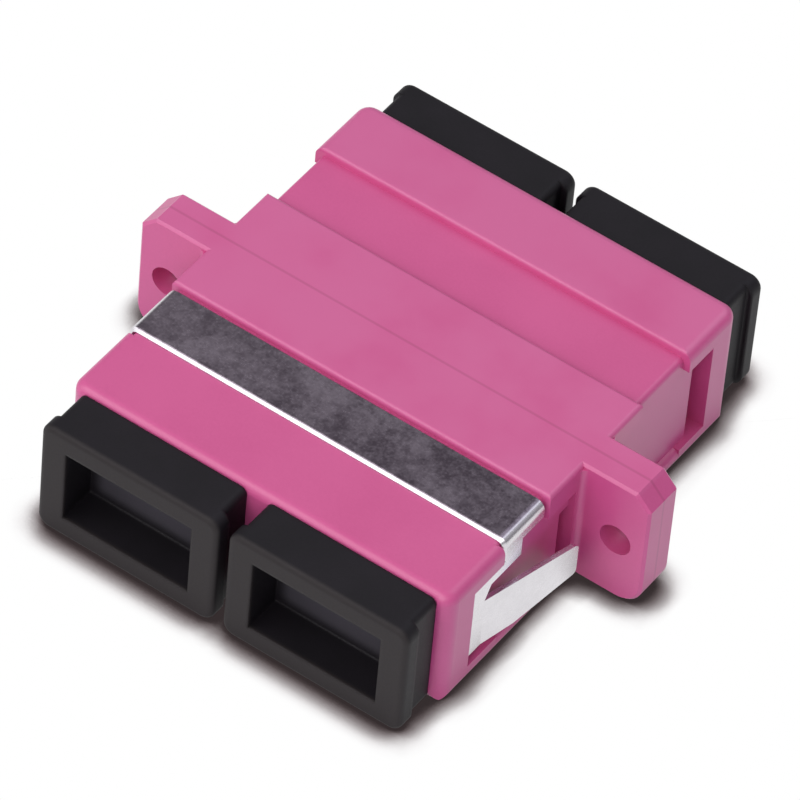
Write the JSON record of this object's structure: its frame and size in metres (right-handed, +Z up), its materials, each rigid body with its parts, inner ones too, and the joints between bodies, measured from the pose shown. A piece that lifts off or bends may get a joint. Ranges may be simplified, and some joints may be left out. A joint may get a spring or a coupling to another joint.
{
  "type": "duplex fibre optic adapter",
  "caption": "Flanged duplex fibre optic adapter with push-pull ports, a steel panel clip with spring fingers, and pull-out dust caps.",
  "frame": {"origin": "on the seam between the housing halves, in the middle of the flat bottom", "axes": "+X across the flange to the right seen from the clip's end, +Y along the fibres away from the clip's end, +Z up"},
  "size_m": [0.0346, 0.0342, 0.0088],
  "materials": {
    "housing": "moulded, satin, heather violet",
    "spring_steel": "rolled, dull on the broad face and bright on the edges",
    "cap": "moulded, satin black",
    "latch": "moulded, natural",
    "sleeve": "polished white ceramic"
  },
  "bodies": {
    "housing": {"front_housing": "housing", "rear_housing": "housing", "panel_clip": "spring_steel", "left_sleeve": "sleeve", "right_sleeve": "sleeve", "front_left_latch": "latch", "front_right_latch": "latch", "rear_left_latch": "latch", "rear_right_latch": "latch"},
    "front_left_cap": {"front_left_cap": "cap"},
    "front_right_cap": {"front_right_cap": "cap"},
    "rear_left_cap": {"rear_left_cap": "cap"},
    "rear_right_cap": {"rear_right_cap": "cap"}
  },
  "joints": [
    {"name": "front_left_cap_pull", "type": "slide", "parent": "housing", "child": "front_left_cap", "axis": [0, -1, 0], "range_m": [0, 0.012]},
    {"name": "front_right_cap_pull", "type": "slide", "parent": "housing", "child": "front_right_cap", "axis": [0, -1, 0], "range_m": [0, 0.012]},
    {"name": "rear_left_cap_pull", "type": "slide", "parent": "housing", "child": "rear_left_cap", "axis": [0, 1, 0], "range_m": [0, 0.012]},
    {"name": "rear_right_cap_pull", "type": "slide", "parent": "housing", "child": "rear_right_cap", "axis": [0, 1, 0], "range_m": [0, 0.012]}
  ]
}
